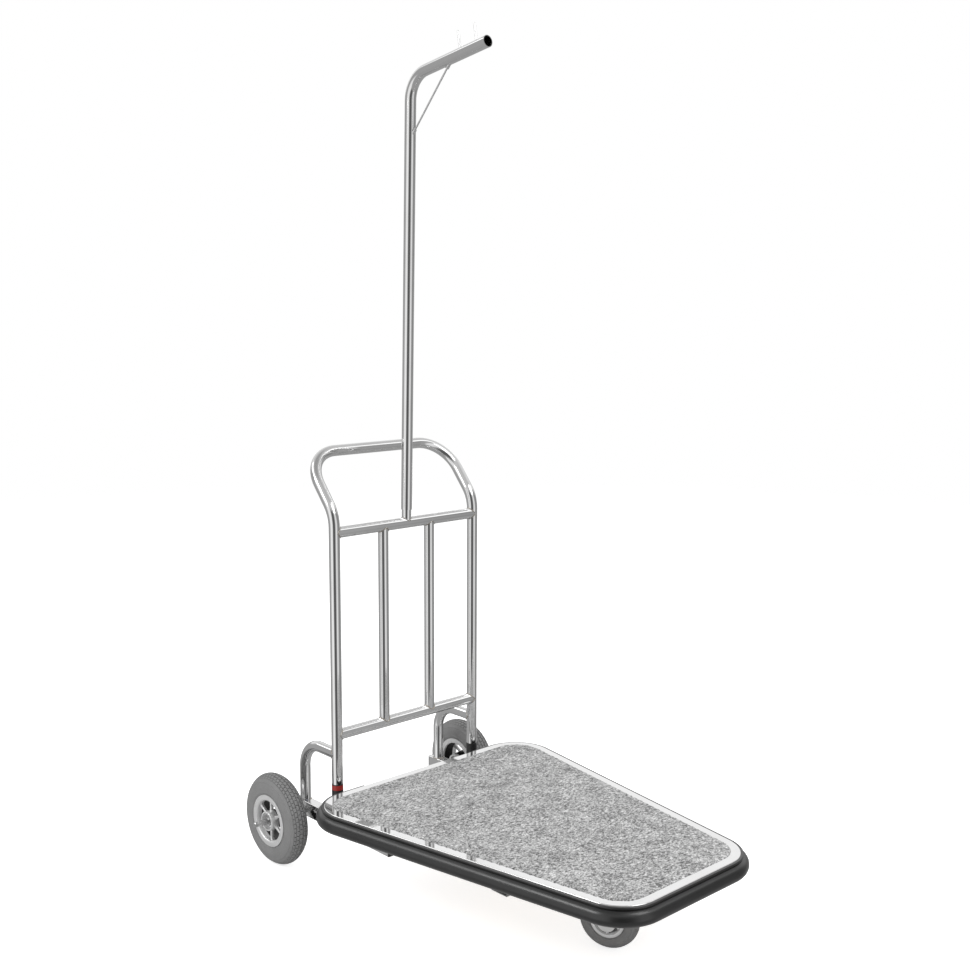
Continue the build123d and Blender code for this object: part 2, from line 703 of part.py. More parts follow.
# ---- caster wheel: cast rim with a spoked web, plain bush and tyre ----
caster_half = caster_width / 2 - 1.0
caster_lip_thick = 2.0
caster_rim_inner = caster_seat_dia - 5.0
caster_bush_od = 16.0
caster_web = 6.0
hub_plane = Plane(caster_axle, x_dir=back, z_dir=across)
with BuildPart() as caster_rim:
    with BuildSketch(hub_plane.offset(-caster_half)):
        ring_face(caster_seat_dia, caster_rim_inner)
    extrude(amount=2 * caster_half)
    for lip_start in (-caster_half, caster_half - caster_lip_thick):
        with BuildSketch(hub_plane.offset(lip_start)):
            ring_face(caster_lip_dia, caster_rim_inner)
        extrude(amount=caster_lip_thick)
    with BuildSketch(hub_plane.offset(-caster_half / 2 - caster_web)):
        ring_face(caster_rim_inner, caster_hub_dia)
    extrude(amount=caster_web)
    with BuildSketch(hub_plane.offset(-caster_half / 2 - caster_web)):
        ring_face(caster_rim_inner - 2.0, caster_hub_dia)
        with PolarLocations(0, spoke_count):
            Rectangle(caster_rim_inner, spoke_width - 1, align=(Align.MIN, Align.CENTER), mode=Mode.SUBTRACT)
    extrude(amount=caster_web, mode=Mode.SUBTRACT)
    with BuildSketch(hub_plane.offset(-caster_hub_length / 2)):
        ring_face(caster_hub_dia, caster_bush_od)
    extrude(amount=caster_hub_length)
export(caster_rim, "caster_rim")

with BuildPart() as caster_bush:
    with BuildSketch(hub_plane.offset(-caster_hub_length / 2)):
        ring_face(caster_bush_od, caster_axle_dia + 2 * running_fit)
    extrude(amount=caster_hub_length)
export(caster_bush, "caster_bush")

with BuildPart() as caster_tyre:
    with BuildSketch(Plane(caster_axle, x_dir=across, z_dir=-back)):
        with BuildLine():
            seat = caster_seat_dia / 2
            bead = caster_half - caster_lip_thick
            lip = caster_lip_dia / 2
            shoulder_x = caster_width / 2 - 5.0
            shoulder_r = caster_dia / 2 - 6.0
            Polyline((-bead, lip), (-bead, seat), (bead, seat), (bead, lip))
            ThreePointArc((bead, lip), (caster_width / 2, (lip + shoulder_r) / 2), (shoulder_x, shoulder_r))
            ThreePointArc((shoulder_x, shoulder_r), (0, caster_dia / 2), (-shoulder_x, shoulder_r))
            ThreePointArc((-shoulder_x, shoulder_r), (-caster_width / 2, (lip + shoulder_r) / 2), (-bead, lip))
        make_face()
    revolve(axis=Axis(caster_axle, across))
export(caster_tyre, "caster_tyre")
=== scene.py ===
"""Looks of a hotel luggage cart: finishes, moulded tyres, cast rims, carpet and weld beads.

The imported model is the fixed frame. Every size below is in metres, in the frame's own axes:
Z is up, the front of the cart is -Y and the floor is z = 0.
"""

import json
import logging
import math
from dataclasses import dataclass, field
from enum import Enum
from typing import Iterable, Optional, Union

import bmesh
import bpy
from mathutils import Matrix, Vector, noise


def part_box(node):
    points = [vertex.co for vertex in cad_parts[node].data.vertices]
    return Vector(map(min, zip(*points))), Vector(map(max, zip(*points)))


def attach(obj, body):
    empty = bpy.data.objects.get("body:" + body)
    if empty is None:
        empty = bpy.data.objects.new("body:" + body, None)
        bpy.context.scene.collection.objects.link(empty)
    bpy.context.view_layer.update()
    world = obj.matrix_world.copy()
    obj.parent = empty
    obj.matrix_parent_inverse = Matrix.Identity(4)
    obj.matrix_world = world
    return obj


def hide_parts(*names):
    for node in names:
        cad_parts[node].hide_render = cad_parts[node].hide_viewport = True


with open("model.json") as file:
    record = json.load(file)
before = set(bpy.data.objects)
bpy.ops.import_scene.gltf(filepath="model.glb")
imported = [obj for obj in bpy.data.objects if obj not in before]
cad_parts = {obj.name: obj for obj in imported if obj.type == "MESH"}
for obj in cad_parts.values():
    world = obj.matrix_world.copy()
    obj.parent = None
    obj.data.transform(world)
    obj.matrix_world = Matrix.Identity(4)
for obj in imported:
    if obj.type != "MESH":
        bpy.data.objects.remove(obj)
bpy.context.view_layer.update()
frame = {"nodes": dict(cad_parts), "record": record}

LOG = logging.getLogger("luggage_cart")
FULL_TURN = 2 * math.pi
UP = Vector((0, 0, 1))
RIGHT = Vector((1, 0, 0))
BACK = Vector((0, 1, 0))

Number = Union["Signal", float]
Colour = tuple[float, float, float, float]
Pair = tuple[float, float]
Triple = tuple[float, float, float]
BMesh = bmesh.types.BMesh


def grey(level: float, warmth: float = 0.0) -> Colour:
    """A colour of one lightness, a little warm above zero warmth and a little cool below it."""
    return (level * (1 + warmth), level, level * (1 - warmth), 1.0)


def surface(colour: Number, rough: Number, normal: Number, metallic: float = 0.0) -> dict:
    """The sockets that every finish sets, by name."""
    return {"Base Color": colour, "Roughness": rough, "Normal": normal, "Metallic": metallic}


# --- Shader graph ---


class Signal:
    """One socket's value in a shader graph. Arithmetic on it adds Math nodes."""

    def __init__(self, graph: "Graph", socket: bpy.types.NodeSocket) -> None:
        """Wrap one of a graph's output sockets."""
        self.graph = graph
        self.socket = socket

    def math(self, operation: str, *values: Number) -> "Signal":
        """Add a Math node.

        Args:
            operation: the node's operation.
            values: its other inputs, after this one.

        Returns:
            The node's result.
        """
        inputs = dict(enumerate((self, *values)))
        return self.graph.add("Math", {"operation": operation}, inputs)

    def __add__(self, other: Number) -> "Signal":
        """This plus other."""
        return self.math("ADD", other)

    def __sub__(self, other: Number) -> "Signal":
        """This minus other."""
        return self.math("SUBTRACT", other)

    def __rsub__(self, other: float) -> "Signal":
        """Other minus this."""
        return self * -1.0 + other

    def __mul__(self, other: Number) -> "Signal":
        """This times other."""
        return self.math("MULTIPLY", other)

    def __truediv__(self, other: Number) -> "Signal":
        """This divided by other."""
        return self.math("DIVIDE", other)

    def step(self, low: float, high: float) -> "Signal":
        """A smooth step from 0 at low to 1 at high.

        Args:
            low: the value that gives 0.
            high: the value that gives 1, which may be below low.

        Returns:
            The step, from 0 to 1.
        """
        settings = {"interpolation_type": "SMOOTHSTEP"}
        inputs = {"Value": self, "From Min": low, "From Max": high}
        return self.graph.add("MapRange", settings, inputs)


class Graph:
    """The nodes of one material or of the world."""

    def __init__(self, tree: bpy.types.NodeTree) -> None:
        """Start on a node tree that already has its output."""
        self.nodes = tree.nodes
        self.links = tree.links

    def add(
        self,
        kind: str,
        settings: Optional[dict] = None,
        inputs: Optional[dict] = None,
        out: Union[int, str] = 0,
    ) -> Signal:
        """Add a node.

        Args:
            kind: the node's type, without the ShaderNode before it.
            settings: its own settings, and a ramp's stops as (position, colour) pairs.
            inputs: the value or the signal of each socket, by name or number.
            out: the output that is wanted, by name or number.

        Returns:
            That output.
        """
        node = self.nodes.new(f"ShaderNode{kind}")
        for key, value in (settings or {}).items():
            if key == "stops":
                self._set_stops(node.color_ramp, value)
            else:
                setattr(node, key, value)
        self.fill(node, inputs or {})
        return Signal(self, node.outputs[out])

    @staticmethod
    def _set_stops(ramp: bpy.types.ColorRamp, stops: list[tuple[float, Colour]]) -> None:
        """Give a colour ramp its stops."""
        while len(ramp.elements) < len(stops):
            ramp.elements.new(0.5)
        for element, (position, colour) in zip(ramp.elements, stops):
            element.position = position
            element.color = colour

    def feed(self, socket: bpy.types.NodeSocket, value: object) -> None:
        """Link a signal to a socket, or set the socket's own value."""
        if isinstance(value, Signal):
            self.links.new(value.socket, socket)
        else:
            socket.default_value = value

    def fill(self, node: bpy.types.Node, values: dict) -> None:
        """Feed a node's sockets, by name or number."""
        for key, value in values.items():
            self.feed(node.inputs[key], value)

    def place(self, stretch: Triple = (1, 1, 1), turn: float = 0.0) -> Signal:
        """Object coordinates, turned about Z and then stretched.

        Args:
            stretch: the scale along each axis.
            turn: the angle about Z, in radians.

        Returns:
            The coordinates.
        """
        point = self.add("TexCoord", out="Object")
        inputs = {"Vector": point, "Rotation": (0, 0, turn), "Scale": stretch}
        return self.add("Mapping", {}, inputs)

    def noise(self, point: Signal, scale: float, detail: float = 2.0, rough: float = 0.5) -> Signal:
        """Fractal noise from 0 to 1.

        Args:
            point: where it is read.
            scale: features for each metre.
            detail: the number of octaves.
            rough: how strong the fine octaves are.

        Returns:
            The noise.
        """
        inputs = {"Vector": point, "Scale": scale, "Detail": detail, "Roughness": rough}
        return self.add("TexNoise", {}, inputs)

    def cells(self, point: Signal, scale: float, out: str = "Distance") -> Signal:
        """Voronoi cells: the Distance to each cell's middle, or a random Color in each."""
        return self.add("TexVoronoi", {}, {"Vector": point, "Scale": scale}, out)

    def chips(self, point: Signal, scale: float) -> Signal:
        """A random value in each Voronoi cell, from 0 to 1."""
        return self.add("SeparateColor", {}, {0: self.cells(point, scale, "Color")})

    def along(self, point: Signal, axis: str) -> Signal:
        """One of a vector's components, by its letter."""
        return self.add("SeparateXYZ", {}, {0: point}, axis)

    def blend(self, factor: Number, first: object, second: object, how: str = "MIX") -> Signal:
        """Mix two colours.

        Args:
            factor: the share of the second.
            first: a colour or a signal.
            second: a colour or a signal.
            how: the blend mode.

        Returns:
            The mixed colour.
        """
        settings = {"data_type": "RGBA", "blend_type": how}
        return self.add("Mix", settings, {0: factor, 6: first, 7: second}, 2)

    def ramp(self, value: Signal, *stops: tuple[float, Colour]) -> Signal:
        """A colour ramp over a value."""
        return self.add("ValToRGB", {"stops": list(stops)}, {"Fac": value})

    def bump(self, height: Signal, depth: float, below: Optional[Signal] = None) -> Signal:
        """A bumped normal.

        Args:
            height: the relief, from 0 to 1.
            depth: its height in metres.
            below: a coarser normal to build on.

        Returns:
            The normal.
        """
        inputs: dict = {"Height": height, "Distance": depth}
        if below is not None:
            inputs["Normal"] = below
        return self.add("Bump", {}, inputs)


# --- Finishes ---


@dataclass(frozen=True)
class Finish:
    """A surface finish, made once and shared by the pieces that have it."""

    name: str

    def shade(self, graph: Graph) -> dict:
        """The shader's sockets, by name, as values or signals."""
        raise NotImplementedError

    def material(self) -> bpy.types.Material:
        """Make the material, or return the one that is already made.

        Returns:
            The material.
        """
        made = bpy.data.materials.get(self.name)
        if made is not None:
            return made
        made = bpy.data.materials.new(self.name)
        made.use_nodes = True
        graph = Graph(made.node_tree)
        graph.fill(graph.nodes["Principled BSDF"], self.shade(graph))
        return made

    def dress(self, piece: bpy.types.Object) -> None:
        """Put this finish in every material slot of a piece."""
        material = self.material()
        if not piece.material_slots:
            piece.data.materials.append(material)
        for slot in piece.material_slots:
            slot.material = material


@dataclass(frozen=True)
class PolishedSteel(Finish):
    """Mirror-polished stainless steel with faint polishing lines, pits and handling marks."""

    tint: float = 0.8
    rough: float = 0.05
    haze: float = 0.05
    relief: float = 0.0000015

    def shade(self, graph: Graph) -> dict:
        """Mirror steel: smears and polishing lines in the roughness, pits in the relief."""
        point = graph.place()
        smears = graph.noise(point, 9.0, 3.0, 0.6).step(0.42, 0.72)
        lines = graph.noise(graph.place((1.0, 1.0, 9.0)), 140.0, 3.0, 0.7)
        pits = graph.noise(point, 700.0, 2.0)
        colour = graph.blend(smears * 0.5, grey(self.tint), grey(self.tint * 0.9, 0.006))
        rough = smears * self.haze + lines * (self.haze * 0.6) + self.rough
        relief = graph.bump(pits, self.relief)
        return surface(colour, rough, relief, 1.0)


@dataclass(frozen=True)
class PlatedSteel(Finish):
    """Zinc or nickel plate over steel, with a soft spangle and a little dulling."""

    tint: float = 0.6
    warmth: float = 0.0
    rough: float = 0.26
    spangle: float = 420.0

    def shade(self, graph: Graph) -> dict:
        """Plate: cells of slightly different lightness, and cloudy roughness."""
        point = graph.place()
        cells = graph.chips(point, self.spangle)
        clouds = graph.noise(point, 38.0, 4.0, 0.6)
        grain = graph.noise(point, 1500.0, 2.0)
        pale, dull = grey(self.tint * 1.18, -self.warmth), grey(self.tint * 0.66, self.warmth)
        plain = graph.blend(cells * 0.35, grey(self.tint, self.warmth), pale)
        colour = graph.blend(clouds.step(0.5, 0.8) * 0.5, plain, dull)
        rough = clouds * 0.18 + cells * 0.06 + (self.rough - 0.08)
        relief = graph.bump(grain, 0.00003)
        return surface(colour, rough, relief, 1.0)


@dataclass(frozen=True)
class WeldSteel(Finish):
    """Brushed-back weld metal with a straw and blue heat tint."""

    def shade(self, graph: Graph) -> dict:
        """Weld: heat tint in patches over satin steel."""
        point = graph.place()
        heat = graph.noise(point, 55.0, 3.0, 0.6)
        straw, blue = (0.46, 0.41, 0.34, 1.0), (0.36, 0.38, 0.43, 1.0)
        colour = graph.ramp(heat, (0.3, grey(0.58)), (0.5, straw), (0.68, blue))
        scale = graph.noise(point, 700.0, 3.0, 0.6)
        rough = heat * 0.2 + scale * 0.1 + 0.2
        relief = graph.bump(scale, 0.00012)
        return surface(colour, rough, relief, 1.0)


@dataclass(frozen=True)
class PaintedFrame(Finish):
    """Grey powder coat with orange peel, dusty in patches and rubbed in places."""

    def shade(self, graph: Graph) -> dict:
        """Powder coat: fine peel, dust and a few pale scuffs."""
        point = graph.place()
        peel = graph.noise(point, 520.0, 2.0, 0.4)
        dust = graph.noise(point, 14.0, 5.0, 0.65)
        scuffs = graph.noise(graph.place((1.0, 6.0, 6.0)), 60.0, 4.0, 0.7).step(0.64, 0.72)
        dusty = graph.blend(dust * 0.5, grey(0.17, -0.01), grey(0.3, 0.02))
        colour = graph.blend(scuffs * 0.6, dusty, grey(0.42))
        rough = dust * 0.2 + scuffs * 0.1 + 0.36
        relief = graph.bump(peel, 0.00009)
        return surface(colour, rough, relief)


@dataclass(frozen=True)
class CastAluminium(Finish):
    """Silver cast alloy with a fine grain, with painted shade in the hollow behind its bright outer
    face.
    """

    # facing, front, back and fade mark where shade is painted: the metal between the front and back
    # depths along facing takes the colour dark, a painted shade for the hollow behind the spokes.
    facing: Triple = (1.0, 0.0, 0.0)
    front: float = -10.0
    back: float = -11.0
    fade: float = 0.0025
    dark: float = 0.02
    tint: float = 0.8

    def shade(self, graph: Graph) -> dict:
        """Cast alloy: grain in the relief, soft clouds in the colour, painted shade between two
        depths.
        """
        point = graph.place()
        grain = graph.noise(point, 1100.0, 3.0, 0.6)
        pores = graph.cells(point, 900.0).step(0.18, 0.05)
        clouds = graph.noise(point, 45.0, 4.0, 0.6)
        plain = graph.blend(clouds, grey(self.tint * 0.86), grey(self.tint * 1.08))
        bright = graph.blend(pores * 0.35, plain, grey(self.tint * 0.5))
        # Painted shade: the metal between the front and back depths is coloured dark, standing in
        # for the shade in the barrel's hollow.
        settings = {"operation": "DOT_PRODUCT"}
        depth = graph.add("VectorMath", settings, {0: point, 1: self.facing}, "Value")
        behind_face = depth.step(self.front, self.front - self.fade)
        painted_shade_mask = behind_face * depth.step(self.back, self.back + self.fade)
        colour = graph.blend(painted_shade_mask, bright, grey(self.dark))
        rough = clouds * 0.14 + grain * 0.1 + 0.26
        relief = graph.bump(grain * 0.7 + pores * -0.3 + 0.3, 0.00007)
        return surface(colour, rough, relief, 0.6)


@dataclass(frozen=True)
class TyreRubber(Finish):
    """Grey non-marking rubber with pale flecks, dust in the grain and a matt skin."""

    tint: float = 0.225

    def shade(self, graph: Graph) -> dict:
        """Tyre rubber: flecks, mottling and a moulded skin."""
        point = graph.place()
        mottle = graph.noise(point, 34.0, 5.0, 0.65)
        flecks = graph.noise(point, 620.0, 2.0, 0.6).step(0.6, 0.74)
        dark = graph.noise(point, 480.0, 3.0, 0.7).step(0.42, 0.28)
        skin = graph.noise(point, 1300.0, 3.0, 0.6)
        plain = graph.blend(mottle, grey(self.tint * 0.84), grey(self.tint * 1.14))
        flecked = graph.blend(flecks * 0.55, plain, grey(self.tint * 1.75))
        colour = graph.blend(dark * 0.35, flecked, grey(self.tint * 0.55))
        rough = mottle * 0.14 + skin * 0.1 + 0.6
        relief = graph.bump(skin, 0.00012)
        return surface(colour, rough, relief) | {"Specular IOR Level": 0.35}


@dataclass(frozen=True)
class BumperRubber(Finish):
    """Charcoal extruded rubber: satin, drawn along its length, with light scuffs."""

    def shade(self, graph: Graph) -> dict:
        """Bumper rubber: die lines along the extrusion, bloom and scuffs."""
        point = graph.place()
        bloom = graph.noise(point, 16.0, 5.0, 0.6)
        drawn = graph.noise(graph.place((1.0, 1.0, 40.0)), 26.0, 3.0, 0.6)
        grain = graph.noise(point, 1400.0, 3.0, 0.6)
        scuffs = graph.noise(graph.place((1.0, 1.0, 9.0)), 42.0, 5.0, 0.75).step(0.66, 0.76)
        plain = graph.blend(bloom, grey(0.006), grey(0.014))
        colour = graph.blend(scuffs * 0.4, plain, grey(0.06))
        rough = bloom * 0.12 + grain * 0.08 + scuffs * 0.14 + 0.2
        relief = graph.bump(grain, 0.00004, graph.bump(drawn, 0.00012))
        coat = {"Coat Weight": bloom * 0.2 + 0.3, "Coat Roughness": 0.2}
        return surface(colour, rough, relief) | coat


@dataclass(frozen=True)
class HeatherCarpet(Finish):
    """Short grey heather pile: light and dark yarns mixed tuft by tuft."""

    def shade(self, graph: Graph) -> dict:
        """Heather pile: short strokes two ways, single tufts and broad mottling."""
        point = graph.place()
        fine = graph.noise(point, 420.0, 3.0, 0.8)
        across = graph.noise(graph.place((0.5, 1.0, 1.0), 0.75), 290.0, 2.0, 0.7)
        along = graph.noise(graph.place((0.6, 1.0, 1.0), 1.9), 240.0, 2.0, 0.7)
        tufts = graph.cells(point, 360.0)
        loose = graph.chips(point, 330.0)
        broad = graph.noise(point, 26.0, 4.0, 0.6)
        lightness = fine * 0.36 + across * 0.3 + along * 0.3 + loose * 0.1 + broad * 0.14 - 0.1
        colour = graph.ramp(
            lightness,
            (0.38, grey(0.045)), (0.445, grey(0.15)), (0.505, grey(0.36)), (0.565, grey(0.58)),
            (0.64, grey(0.84)),
        )
        relief = graph.bump(across * 0.3 + fine * 0.3 + (1 - tufts) * 0.4, 0.001)
        sheen = {"Specular IOR Level": 0.15, "Sheen Weight": 0.2, "Sheen Roughness": 0.6}
        return surface(colour, 0.95, relief) | sheen


@dataclass(frozen=True)
class Plywood(Finish):
    """Birch plywood: long grain on the faces and thin plies on the edges."""

    ply: float = 0.0015

    def shade(self, graph: Graph) -> dict:
        """Plywood: face grain, rays and layered edges."""
        point = graph.place()
        height = graph.along(point, "Z")
        normal = graph.add("TexCoord", out="Normal")
        upward = graph.along(normal, "Z").math("ABSOLUTE")
        grain = graph.noise(graph.place((9.0, 0.7, 1.0)), 18.0, 6.0, 0.65)
        pores = graph.noise(graph.place((24.0, 1.2, 1.0)), 60.0, 3.0, 0.7).step(0.6, 0.7)
        bands = (height / self.ply).math("PINGPONG", 1.0).step(0.45, 0.55)
        pale, tan, brown = (0.6, 0.44, 0.27, 1.0), (0.46, 0.31, 0.17, 1.0), (0.25, 0.15, 0.08, 1.0)
        face = graph.blend(pores * 0.5, graph.blend(grain, tan, pale), brown)
        edge = graph.blend(bands, tan, brown)
        colour = graph.blend(upward.step(0.4, 0.6), edge, face)
        relief = graph.bump(grain - pores * 0.5, 0.0002)
        return surface(colour, grain * 0.2 + 0.55, relief)


@dataclass(frozen=True)
class MouldedPlastic(Finish):
    """Moulded plastic with a fine spark-eroded texture."""

    tint: float = 0.03
    rough: float = 0.42

    def shade(self, graph: Graph) -> dict:
        """Plastic: fine texture and slight flow marks."""
        point = graph.place()
        grain = graph.noise(point, 1600.0, 2.0, 0.6)
        flow = graph.noise(point, 60.0, 3.0, 0.6)
        colour = graph.blend(flow, grey(self.tint * 0.8), grey(self.tint * 1.3))
        rough = flow * 0.12 + grain * 0.1 + (self.rough - 0.1)
        return surface(colour, rough, graph.bump(grain, 0.00006))


@dataclass(frozen=True)
class PrintedBand(Finish):
    """Printed vinyl band: a plain stripe of colour on black, worn at its edges."""

    stripe: Colour = (0.36, 0.028, 0.022, 1.0)
    low: float = 0.19
    high: float = 0.201

    def shade(self, graph: Graph) -> dict:
        """Band: one plain stripe between two heights, with rubbed ink."""
        point = graph.place()
        height = graph.along(point, "Z")
        rubbed = graph.noise(point, 420.0, 4.0, 0.7)
        edge = rubbed * 0.0012
        mask = (height + edge).step(self.low, self.low + 0.0008)
        mask = mask * (height + edge).step(self.high + 0.0008, self.high)
        ink = graph.blend(rubbed.step(0.55, 0.75) * 0.4, self.stripe, grey(0.06))
        black = graph.blend(rubbed, grey(0.012), grey(0.03))
        colour = graph.blend(mask, black, ink)
        relief = graph.bump(rubbed, 0.00003)
        return surface(colour, rubbed * 0.2 + 0.28, relief)


class Slot(Enum):
    """The record's material slots, each with the finish that it takes."""

    polished_tube = PolishedSteel("polished_tube_finish")
    polished_rod = PolishedSteel("polished_rod_finish", tint=0.74, rough=0.12)
    polished_trim = PolishedSteel(
        "polished_trim_finish", tint=0.9, rough=0.03, haze=0.03, relief=0.000001,
    )
    plated_steel = PlatedSteel("plated_steel_finish", tint=0.62, rough=0.2, spangle=700.0)
    zinc_plate = PlatedSteel("zinc_plate_finish", tint=0.58, warmth=0.015)
    bearing_steel = PlatedSteel("bearing_steel_finish", tint=0.24, rough=0.2, spangle=900.0)
    frame_steel = PaintedFrame("frame_steel_finish")
    cast_rim = CastAluminium("cast_rim_finish")
    tyre = TyreRubber("tyre_finish")
    bumper_rubber = BumperRubber("bumper_rubber_finish")
    carpet = HeatherCarpet("carpet_finish")
    deck_board = Plywood("deck_board_finish")
    black_plastic = MouldedPlastic("black_plastic_finish")
    bush_plastic = MouldedPlastic("bush_plastic_finish", tint=0.6, rough=0.5)
    printed_band = PrintedBand("printed_band_finish")


WELD = WeldSteel("weld_finish")
PLAIN_BAND = PrintedBand("plain_band_finish", stripe=grey(0.02))


def dress_cad_nodes() -> None:
    """Give each CAD node the finish of its own material slot in the record."""
    for row in frame["record"]["subparts"]:
        node, slot = row["node"], Slot[row["material_slot"]]
        slot.value.dress(frame["nodes"][node])
        LOG.info("%s: %s", node, slot.name)
    PLAIN_BAND.dress(frame["nodes"]["right_label_band"])


# --- Mesh helpers ---


def new_mesh(bm: BMesh, name: str) -> bpy.types.Mesh:
    """Turn a bmesh into a mesh and free it."""
    mesh = bpy.data.meshes.new(name)
    bm.to_mesh(mesh)
    bm.free()
    return mesh


def new_object(name: str, data: bpy.types.ID) -> bpy.types.Object:
    """Make an object and link it to the scene."""
    made = bpy.data.objects.new(name, data)
    bpy.context.scene.collection.objects.link(made)
    return made


@dataclass
class Piece:
    """A finished mesh piece and what it stands for."""

    name: str
    body: str
    slot: Slot
    stands_for: tuple[str, ...] = ()
    finish: Optional[Finish] = None
    sharp_angle: float = 32.0

    def finish_mesh(self, bm: BMesh) -> bpy.types.Object:
        """Turn a bmesh into a dressed piece that rides on its body.

        Args:
            bm: the geometry, in place. It is freed.

        Returns:
            The piece.
        """
        for face in bm.faces:
            face.smooth = True
        mesh = new_mesh(bm, self.name)
        mesh.set_sharp_from_angle(angle=math.radians(self.sharp_angle))
        piece = new_object(self.name, mesh)
        (self.finish or self.slot.value).dress(piece)
        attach(piece, self.body)
        if self.stands_for:
            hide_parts(*self.stands_for)
        LOG.info("%s: %d faces, on %s", self.name, len(mesh.polygons), self.body)
        return piece


def arc(start: float, end: float, steps: int) -> Iterable[float]:
    """Evenly spaced values from start to end, both included."""
    return (start + (end - start) * i / steps for i in range(steps + 1))


def spin_profile(bm: BMesh, profile: list[Pair], steps: int) -> None:
    """Spin a closed outline of (along, radius) points round the X axis.

    Args:
        bm: the bmesh that takes the ring.
        profile: the outline's points.
        steps: the number of faces round the ring.
    """
    corners = [bm.verts.new((along, 0, radius)) for along, radius in profile]
    edges = [bm.edges.new(pair) for pair in zip(corners, corners[1:] + corners[:1])]
    bmesh.ops.spin(
        bm, geom=corners + edges, cent=(0, 0, 0), axis=(1, 0, 0), angle=FULL_TURN, steps=steps,
        use_merge=True,
    )


def soften(bm: BMesh, edges: list[bmesh.types.BMEdge], width: float) -> None:
    """Round edges by a small width."""
    bmesh.ops.bevel(
        bm, geom=edges, offset=width, offset_type="OFFSET", segments=2, profile=0.5,
        affect="EDGES", material=-1, clamp_overlap=True,
    )


def face_outward(bm: BMesh) -> None:
    """Turn every face to look outward."""
    bmesh.ops.recalc_face_normals(bm, faces=bm.faces)


def sharp_edges(bm: BMesh, angle: float) -> list[bmesh.types.BMEdge]:
    """The edges whose two faces meet at more than an angle, in degrees."""
    limit = math.radians(angle)
    return [e for e in bm.edges if len(e.link_faces) == 2 and e.calc_face_angle(0.0) > limit]


@dataclass
class WheelPlace:
    """Where a wheel is: its middle, its radius, and the way that its outer face looks."""

    tyre_node: str
    yaw: float
    centre: Vector = field(init=False)
    radius: float = field(init=False)
    facing: Triple = field(init=False)
    depth: float = field(init=False)

    def __post_init__(self) -> None:
        """Read the middle and the radius from the CAD tyre."""
        low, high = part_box(self.tyre_node)
        self.centre = (low + high) / 2
        self.radius = (high.z - low.z) / 2
        self.facing = (math.cos(self.yaw), math.sin(self.yaw), 0.0)
        self.depth = self.centre.dot(Vector(self.facing))

    def put(self, bm: BMesh) -> None:
        """Turn and move geometry made round the X axis, outer face to +X, to the wheel's place."""
        face_outward(bm)
        bmesh.ops.transform(bm, matrix=Matrix.Rotation(self.yaw, 4, "Z"), verts=bm.verts)
        bmesh.ops.translate(bm, vec=self.centre, verts=bm.verts)


# --- Wheels ---


@dataclass
class Tyre:
    """A moulded tyre: round sidewalls, a central groove and rows of tread blocks."""

    place: WheelPlace
    width: float
    seat_radius: float
    lip_radius: float
    bead_inset: float
    shoulder_inset: float
    crown_drop: float
    rows: tuple[Pair, ...]
    blocks: int = 60
    faces_per_block: int = 6
    groove_depth: float = 0.0022
    groove_slope: float = 0.0004
    sipe_depth: float = 0.0022
    sipe_edge: float = 0.0002
    centre_depth: float = 1.2
    rings: tuple[float, ...] = (0.13, 0.2, 0.82)
    ring_height: float = 0.0009
    ring_width: float = 0.022
    wall_steps: int = 22
    wall_fullness: float = 0.8

    def crown(self, x: float) -> float:
        """The tread's radius at x from the middle plane."""
        shoulder = self.width / 2 - self.shoulder_inset
        return self.place.radius - self.crown_drop * (x / shoulder) ** 2

    def sidewall(self) -> list[Pair]:
        """One sidewall from the bead to the shoulder, as (x, radius) points."""
        bead, bulge = self.width / 2 - self.bead_inset, self.width / 2
        shoulder = bulge - self.shoulder_inset
        top = self.crown(shoulder)
        points = []
        for t in arc(0.0, 1.0, self.wall_steps):
            chord = bead + (shoulder - bead) * t
            swell = (bulge - (bead + shoulder) / 2) * math.sin(math.pi * t) ** self.wall_fullness
            ring = sum(math.exp(-(((t - at) / self.ring_width) ** 2)) for at in self.rings)
            radius = self.lip_radius + (top - self.lip_radius) * t
            points.append((chord + swell + ring * self.ring_height, radius))
        return points

    def half_tread(self) -> list[Pair]:
        """The tread from the middle to one shoulder: rows of blocks with grooves between them."""
        points = [(0.0, self.crown(0.0) - self.centre_depth * self.groove_depth)]
        for start, end in self.rows:
            points.append((start - self.groove_slope, self.crown(start) - self.groove_depth))
            points += [(x, self.crown(x)) for x in arc(start, end, 2)]
            points.append((end + self.groove_slope, self.crown(end) - self.groove_depth))
        return points

    def profile(self) -> list[Pair]:
        """The closed outline of the tyre's section."""
        bead = self.width / 2 - self.bead_inset
        half = [(bead, self.seat_radius), *self.sidewall(), *reversed(self.half_tread())]
        other = [(-x, radius) for x, radius in reversed(half[:-1])]
        return half + other

    def sipes(self, bm: BMesh) -> None:
        """Press the narrow cross grooves into each row of blocks."""
        count = self.blocks * self.faces_per_block
        chosen = []
        for face in bm.faces:
            middle = face.calc_center_median()
            row = next((k for k, (a, b) in enumerate(self.rows) if a < abs(middle.x) < b), None)
            if row is None or middle.yz.length < self.crown(abs(middle.x)) - self.groove_depth / 2:
                continue
            sector = int(math.floor(math.atan2(middle.z, middle.y) / FULL_TURN * count))
            shift = row * 2 + (self.faces_per_block // 2 if middle.x > 0 else 0)
            if (sector + shift) % self.faces_per_block == 0:
                chosen.append(face)
        bmesh.ops.inset_region(
            bm, faces=chosen, thickness=self.sipe_edge, depth=-self.sipe_depth,
            use_even_offset=True, use_boundary=True,
        )

    def build(self, name: str, body: str) -> bpy.types.Object:
        """Make the tyre.

        Args:
            name: the piece's name.
            body: the body that it rides on.

        Returns:
            The piece.
        """
        bm = bmesh.new()
        spin_profile(bm, self.profile(), self.blocks * self.faces_per_block)
        face_outward(bm)
        self.sipes(bm)
        self.place.put(bm)
        return Piece(name, body, Slot.tyre, (self.place.tyre_node,)).finish_mesh(bm)


